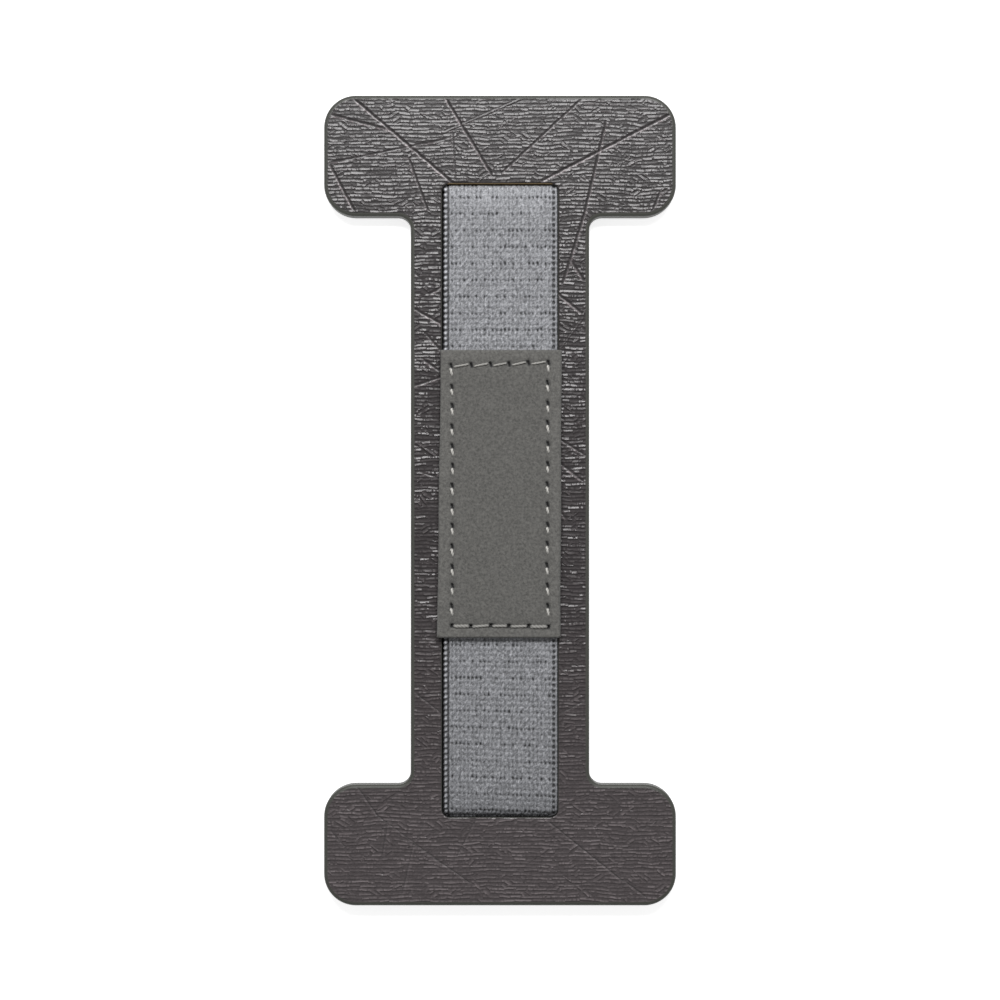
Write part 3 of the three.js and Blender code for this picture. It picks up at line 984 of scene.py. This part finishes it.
def leather():
    """Dark embossed sheet. Its hairlines have a painted highlight on their crests and painted shade in
    their troughs, less so towards the strap's lower end, where the whole colour is also painted
    lighter.
    Creases get painted shade in their grooves and painted highlights on their ridges and lower lips,
    and its rim is smooth and painted."""
    material, tree, shader = new_material("embossed leather", Specular_IOR_Level=0.37)
    place = millimetres(tree)
    parts = tree.parts(place)
    lines = leather_lines(tree, place)
    grooves, near, lip = leather_creases(tree, place)
    mottle = mottled(tree, place, 0.25, 0.16)
    ragged = tree.times(tree.minus(tree.noise(place, 2.2, 2), 0.5), 0.3)
    face = tree.ramp(tree.plus(tree.attribute("rim_share"), ragged), 0.8, 1.2)
    crisp = tree.ramp(parts[1], -46, -12, 0.72, 1)
    kept = tree.times(face, tree.ramp(near, 0.15, 0.75, 1, 0.1), crisp)
    height = tree.plus(tree.times(lines["Height"], kept), tree.times(grooves, face))
    # Painted highlight: the hairlines' crests are lighter.
    tone_and_painted_light = tree.plus(0.47, tree.times(lines["Line"], 0.85))
    # Painted light: the whole colour is lighter towards the strap's lower end.
    tone_and_painted_light = tree.times(tone_and_painted_light, tree.ramp(parts[1], -52, -8, 1.8, 1))
    tone_and_painted_light = tree.plus(tone_and_painted_light, tree.ramp(parts[1], -52, 44, 0.34, 0))
    # Painted shade in the crease grooves and a painted highlight on the crease ridges.
    crease_shade_and_highlight = tree.ramp(grooves, -0.022, -0.006, 0.5, 1)
    crease_shade_and_highlight = tree.times(crease_shade_and_highlight, tree.ramp(grooves, 0.0, 0.03, 1, 1.25))
    # Painted shade in the troughs between the hairlines, less of it towards the lower end.
    sunk = tree.minus(1, tree.times(lines["Trough"], crisp, 0.62))
    grain = tree.stretched(place, (3.0, 5.5, 1.0), 3, 0.7)
    tone_and_painted_light = tree.times(tone_and_painted_light, tree.times(crease_shade_and_highlight, sunk), tree.ramp(grain, 0.3, 0.7, 0.8, 1.2))
    # Painted highlight on the lower lips of the deep grooves, stronger towards the upper end.
    tone_and_painted_light = tree.plus(tone_and_painted_light, tree.times(lip, tree.ramp(parts[1], -40, 10, 2.0, 4.6)))
    skin = tint(tree, LEATHER, tree.times(mottle, tone_and_painted_light))
    edge = leather_edge(tree, place, parts, mottle)
    rough = tree.ramp(grooves, -0.018, -0.004, 0.6, 0.27)
    rough = tree.plus(0.44, tree.times(face, tree.minus(rough, 0.44)))
    dress(tree, shader, tree.mix(face, edge, skin), rough, height)
    return material


def webbing():
    """Light loose yarns with slanted strokes of fibre, painted shade in the weave's holes and a painted
    highlight on the highest yarns and edge loops. Painted shade makes them a little darker towards the
    band's lower end, and a painted highlight makes them lighter at its upper one."""
    material, tree, shader = new_material("woven elastic", Sheen_Weight=0.15, Sheen_Roughness=0.5)
    place = millimetres(tree)
    parts = tree.parts(place)
    relief = tree.attribute("relief")
    fibre = tree.stretched(place, (9.0, 3.5, 4.0), 3, 0.6)
    curl = tree.noise(place, 5.2, 2, 0.7)
    # Painted shade towards the band's lower end, and a painted highlight at its upper end where it
    # bends over the edge.
    lower_end_shade = tree.ramp(parts[1], -42, 8, 0.85, 1)
    upper_end_highlight = tree.ramp(parts[1], 37.5, 41, 1, 1.28)
    # This mottle also carries that painted shade and highlight.
    mottle = tree.times(mottled(tree, place, 0.5, 0.07), lower_end_shade, upper_end_highlight)
    # Painted shade in the weave's holes, and a painted highlight on the highest yarns and the edge
    # loops.
    deep = tree.plus(tree.ramp(relief, 0.0, 0.75, 0.1, 1), tree.ramp(relief, 0.9, 1.1, 0, 0.8))
    curled = tree.vector("ADD", place, tree.vector("MULTIPLY", curl, (0.12, 0.12, 0)))
    strokes = tree.stretched(tree.turned(curled, 0.75), (7.0, 3.4, 1.0), 1)
    loose = tree.ramp(curl, 0.3, 0.7, 0.8, 1.2)
    loose = tree.times(loose, tree.ramp(strokes, 0.3, 0.7, 0.68, 1.32))
    shade = tree.times(deep, mottle, loose, tree.ramp(fibre, 0.2, 0.8, 0.9, 1.08))
    yarns = tree.plus(tree.times(fibre, 0.02), tree.times(tree.plus(curl, strokes), 0.06))
    dress(tree, shader, tint(tree, WEBBING, shade), tree.ramp(fibre, 0, 1, 0.28, 0.46), yarns)
    return material


def suede():
    """Matt grey nap, lighter towards its edge, with painted shade in the needle pits."""
    material, tree, shader = new_material("grey suede", Sheen_Weight=0.2, Sheen_Roughness=0.6)
    place = millimetres(tree)
    nap = tree.noise(place, 2.9, 4, 0.85)
    # Painted shade: the needle pits are nearly black.
    dark = tree.ramp(tree.attribute("pit"), 0.05, 0.75, 1, 0.04)
    margin = tree.ramp(tree.attribute("inset"), 1.0, 1.9, 1.12, 1)
    grain = tree.times(tree.ramp(nap, 0.25, 0.75, 0.5, 1.5), margin)
    shade = tree.times(mottled(tree, place, 0.4, 0.12), dark, grain)
    rough = tree.ramp(nap, 0, 1, 0.85, 1)
    dress(tree, shader, tint(tree, SUEDE, shade), rough, tree.times(nap, 0.11))
    return material


def thread():
    """Twisted grey thread, with painted shade between its plies and where it dips into the patch, and
    painted highlights on the side stitches.
    """
    material, tree, shader = new_material("grey thread", Sheen_Weight=0.2)
    place = millimetres(tree)
    fibre = tree.noise(place, 11.0, 2, 0.6)
    # Painted shade between the plies; the light attribute adds the thread's painted shade and
    # highlight.
    plies = tree.ramp(tree.attribute("ply"), 0, 0.6, 0.55, 1)
    shade = tree.times(plies, tree.ramp(fibre, 0.2, 0.8, 0.85, 1.1), tree.attribute("light"))
    rough = tree.ramp(fibre, 0, 1, 0.38, 0.6)
    dress(tree, shader, tint(tree, THREAD, shade), rough, tree.times(fibre, 0.02))
    return material


def board():
    """Tan fibre board, which shows raw in the window's upper end. The other cut edges are sealed with
    dark grey edge paint, and those in the window are black, painted shade over their edge paint."""
    material, tree, shader = new_material("fibre board")
    place = millimetres(tree)
    parts = tree.parts(place)
    middle = tree.math("LESS_THAN", tree.size(parts[0]), WINDOW_HALF_WIDTH / MM - 0.9)
    beyond = tree.size(tree.minus(parts[1], WINDOW_HALF_LENGTH / MM))
    raw = tree.times(middle, tree.math("LESS_THAN", beyond, 0.5))
    layers = tree.stretched(place, (0.7, 0.7, 7.0), 4, 0.7)
    tan = tint(tree, RAW_BOARD, tree.ramp(layers, 0.2, 0.8, 0.75, 1.15))
    # Walls round the window are black as painted shade; the outer cut edges keep their grey edge paint.
    painted = tree.mix(near_window(tree, parts, 0.5), BOARD_PAINT, BLACK_WALL_SHADE)
    painted = tint(tree, painted, mottled(tree, place, 0.6, 0.1))
    rough = tree.ramp(raw, 0, 1, 0.5, 0.9)
    dress(tree, shader, tree.mix(raw, painted, tan), rough, tree.times(layers, 0.06))
    return material


def plain_sheet(name, colour, unevenness, grain_scale, rough, height):
    """A flat sheet of one colour, with a slow unevenness and a fine grain."""
    material, tree, shader = new_material(name)
    place = millimetres(tree)
    grain = tree.noise(place, grain_scale, 3, 0.6)
    colour = tint(tree, colour, mottled(tree, place, *unevenness))
    dress(tree, shader, colour, tree.ramp(grain, 0, 1, *rough), tree.times(grain, height))
    return material


def black_sheet():
    return plain_sheet("black sheet", BLACK_FILM, (0.5, 0.15), 6.0, (0.5, 0.75), 0.02)


def adhesive():
    return plain_sheet("adhesive", ADHESIVE, (0.35, 0.05), 4.0, (0.25, 0.45), 0.03)


# Room

def look_down():
    """A camera straight above the strap, which frames it as the photograph does."""
    data = bpy.data.cameras.new("camera")
    data.sensor_width = SENSOR / MM
    data.lens = SENSOR / MM * CAMERA_DISTANCE / (IMAGE_SIDE * PIXEL)
    camera = bpy.data.objects.new("camera", data)
    camera.location = (0, PIXEL / 2, plate_high.z + CAMERA_DISTANCE)
    bpy.context.scene.collection.objects.link(camera)
    bpy.context.scene.camera = camera


def key_panel():
    """A rectangular lamp beyond the strap's upper end, which faces the strap's middle."""
    data = bpy.data.lights.new("key panel", "AREA")
    data.shape = "RECTANGLE"
    data.size, data.size_y = PANEL_SIZE
    data.energy = PANEL_POWER
    lamp = bpy.data.objects.new("key panel", data)
    lamp.location = PANEL_PLACE
    lamp.rotation_euler = (-Vector(PANEL_PLACE)).to_track_quat("-Z", "Y").to_euler()
    bpy.context.scene.collection.objects.link(lamp)


def even_sky():
    """A world of one even grey."""
    world = bpy.data.worlds.new("room")
    bpy.context.scene.world = world
    world.use_nodes = True
    world.node_tree.nodes["Background"].inputs["Color"].default_value = SKY


def pale_floor():
    """A white floor that takes the strap's shadow. It shows white to the camera where it is lit, and
    it is clear from below, where the strap's underside shows through it."""
    mesh = bpy.data.meshes.new("floor")
    sides = ((-1, -1), (1, -1), (1, 1), (-1, 1))
    corners = [(x * FLOOR_HALF, y * FLOOR_HALF, FLOOR_LEVEL) for x, y in sides]
    mesh.from_pydata(corners, [], [(0, 1, 2, 3)])
    floor = bpy.data.objects.new("floor", mesh)
    bpy.context.scene.collection.objects.link(floor)
    material, tree, shader = new_material(
        "white floor",
        Base_Color=(0.82, 0.82, 0.82, 1),
        Roughness=0.9,
        Specular_IOR_Level=0.0,
        Emission_Color=(1, 1, 1, 1),
    )
    rays = tree.add("ShaderNodeLightPath").outputs
    seen = tree.largest(rays["Is Camera Ray"], rays["Is Transmission Ray"], rays["Is Glossy Ray"])
    tree.feed(shader["Emission Strength"], tree.times(seen, FLOOR_GLOW))
    nodes = material.node_tree.nodes
    white = nodes["Principled BSDF"].outputs[0]
    clear = tree.add("ShaderNodeBsdfTransparent").outputs[0]
    behind = tree.add("ShaderNodeNewGeometry").outputs["Backfacing"]
    one_sided = tree.add("ShaderNodeMixShader", {0: behind, 1: white, 2: clear}).outputs[0]
    tree.feed(nodes["Material Output"].inputs["Surface"], one_sided)
    mesh.materials.append(material)


look_down()
key_panel()
even_sky()
pale_floor()

holes = seam_holes(np.random.default_rng(3))
embossed_face().data.materials.append(leather())
woven_band().data.materials.append(webbing())
suede_patch(holes).data.materials.append(suede())
sewing_thread = thread()
for name, node, side in (("top_stitches", "needle_thread", 1), ("under_stitches", "bobbin_thread", -1)):
    stitches = seam_thread(name, node, holes, side, np.random.default_rng(5))
    stitches.data.materials.append(sewing_thread)
finishes = {"core_board": board(), "backing_sheet": black_sheet(), "adhesive_sheet": adhesive()}
for node, material in finishes.items():
    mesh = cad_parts[node].data
    mesh.materials.clear()
    mesh.materials.append(material)

bpy.context.scene.view_settings.view_transform = "Standard"
